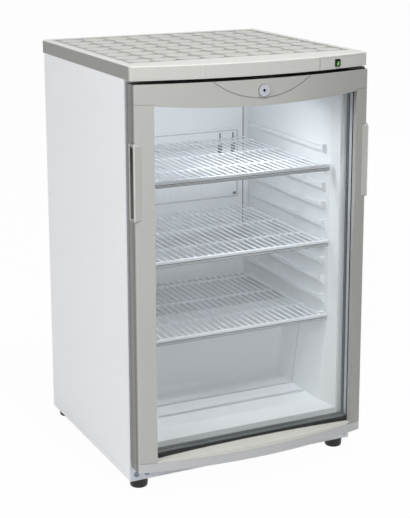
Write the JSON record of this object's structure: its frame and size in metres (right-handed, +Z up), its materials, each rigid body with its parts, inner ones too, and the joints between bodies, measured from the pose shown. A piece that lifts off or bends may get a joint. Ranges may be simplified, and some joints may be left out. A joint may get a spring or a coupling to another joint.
{
  "type": "glass door display fridge",
  "caption": "Low free-standing bottle cooler: white insulated cabinet, grey dotted worktop, one bow-fronted framed glass door with a lock, wire shelves and levelling feet.",
  "frame": {"origin": "bottom centre of the whole part's box, on the floor that its feet stand on", "axes": "+Z up, the door faces -Y, +X to the right seen from the front"},
  "size_m": [0.513, 0.5538, 0.855],
  "materials": {
    "cabinet_white": "satin",
    "galvanised": "satin",
    "foam": "matte",
    "liner_white": "gloss",
    "panel_white": "satin",
    "diffuser": "satin",
    "worktop_grey": "satin",
    "door_grey": "satin",
    "glass": "gloss",
    "spacer": "satin",
    "inner_frame_grey": "matte",
    "gasket": "matte",
    "lock_chrome": "polished",
    "hinge_steel": "satin",
    "bush_nylon": "satin",
    "black_plastic": "satin",
    "rocker_green": "gloss",
    "foot_black": "matte",
    "compressor_black": "satin",
    "condenser_black": "satin",
    "copper": "satin",
    "evaporator": "satin",
    "shelf_white": "satin",
    "tray_grey": "satin"
  },
  "bodies": {
    "cabinet": {"left_side_panel": "cabinet_white", "right_side_panel": "cabinet_white", "back_panel": "cabinet_white", "top_panel": "cabinet_white", "base_pan": "galvanised", "front_plinth": "cabinet_white", "bay_panel": "galvanised", "insulation": "foam", "inner_liner": "liner_white", "rear_air_panel": "panel_white", "panel_screws": "hinge_steel", "evaporator_plate": "evaporator", "drip_trough": "panel_white", "drain_tube": "tray_grey", "lamp_housing": "panel_white", "lamp_diffuser": "diffuser", "worktop": "worktop_grey", "control_panel": "worktop_grey", "fascia_cover": "worktop_grey", "switch_housing": "black_plastic", "lock_keeper": "hinge_steel", "upper_hinge": "hinge_steel", "lower_hinge": "hinge_steel", "hinge_screws": "hinge_steel", "compressor": "compressor_black", "compressor_grommets": "foot_black", "terminal_cover": "black_plastic", "evaporation_tray": "tray_grey", "condenser_tube": "condenser_black", "condenser_wires": "condenser_black", "condenser_brackets": "galvanised", "filter_drier": "copper", "refrigerant_pipes": "copper", "cord_gland": "black_plastic"},
    "door": {"door_top_rail": "door_grey", "door_bottom_rail": "door_grey", "door_left_stile": "door_grey", "door_right_stile": "door_grey", "outer_glass": "glass", "inner_glass": "glass", "glass_spacer": "spacer", "door_inner_frame": "inner_frame_grey", "door_gasket": "gasket", "left_grip": "door_grey", "right_grip": "door_grey", "lock_housing": "lock_chrome", "upper_hinge_bush": "bush_nylon", "lower_hinge_bush": "bush_nylon"},
    "lock": {"lock_barrel": "lock_chrome", "lock_cam": "hinge_steel"},
    "switch": {"switch_rocker": "rocker_green"},
    "thermostat": {"thermostat_knob": "panel_white"},
    "upper_shelf": {"shelf_upper": "shelf_white"},
    "middle_shelf": {"shelf_middle": "shelf_white"},
    "lower_shelf": {"shelf_lower": "shelf_white"},
    "front_left_foot": {"foot_front_left": "foot_black"},
    "front_right_foot": {"foot_front_right": "foot_black"},
    "rear_left_foot": {"foot_rear_left": "foot_black"},
    "rear_right_foot": {"foot_rear_right": "foot_black"}
  },
  "joints": [
    {"name": "door_hinge", "type": "hinge", "parent": "cabinet", "child": "door", "pos_m": [0.24, -0.22228, 0.438], "axis": [0, 0, 1], "range_deg": [0, 105]},
    {"name": "lock_turn", "type": "hinge", "parent": "door", "child": "lock", "pos_m": [0, -0.24827, 0.8], "axis": [0, -1, 0], "range_deg": [0, 90]},
    {"name": "switch_rock", "type": "hinge", "parent": "cabinet", "child": "switch", "pos_m": [0.17532, -0.24761, 0.8393], "axis": [-0.981, -0.1939, 0], "range_deg": [0, 18]},
    {"name": "thermostat_turn", "type": "hinge", "parent": "cabinet", "child": "thermostat", "pos_m": [0.126, -0.12527, 0.76], "axis": [0, 0, -1], "range_deg": [0, 300]},
    {"name": "upper_shelf_slide", "type": "slide", "parent": "cabinet", "child": "upper_shelf", "axis": [0, -1, 0], "range_m": [0, 0.025]},
    {"name": "middle_shelf_slide", "type": "slide", "parent": "cabinet", "child": "middle_shelf", "axis": [0, -1, 0], "range_m": [0, 0.025]},
    {"name": "lower_shelf_slide", "type": "slide", "parent": "cabinet", "child": "lower_shelf", "axis": [0, -1, 0], "range_m": [0, 0.025]},
    {"name": "front_left_foot_screw", "type": "slide", "parent": "cabinet", "child": "front_left_foot", "axis": [0, 0, -1], "range_m": [0, 0.012]},
    {"name": "front_right_foot_screw", "type": "slide", "parent": "cabinet", "child": "front_right_foot", "axis": [0, 0, -1], "range_m": [0, 0.012]},
    {"name": "rear_left_foot_screw", "type": "slide", "parent": "cabinet", "child": "rear_left_foot", "axis": [0, 0, -1], "range_m": [0, 0.012]},
    {"name": "rear_right_foot_screw", "type": "slide", "parent": "cabinet", "child": "rear_right_foot", "axis": [0, 0, -1], "range_m": [0, 0.012]}
  ]
}
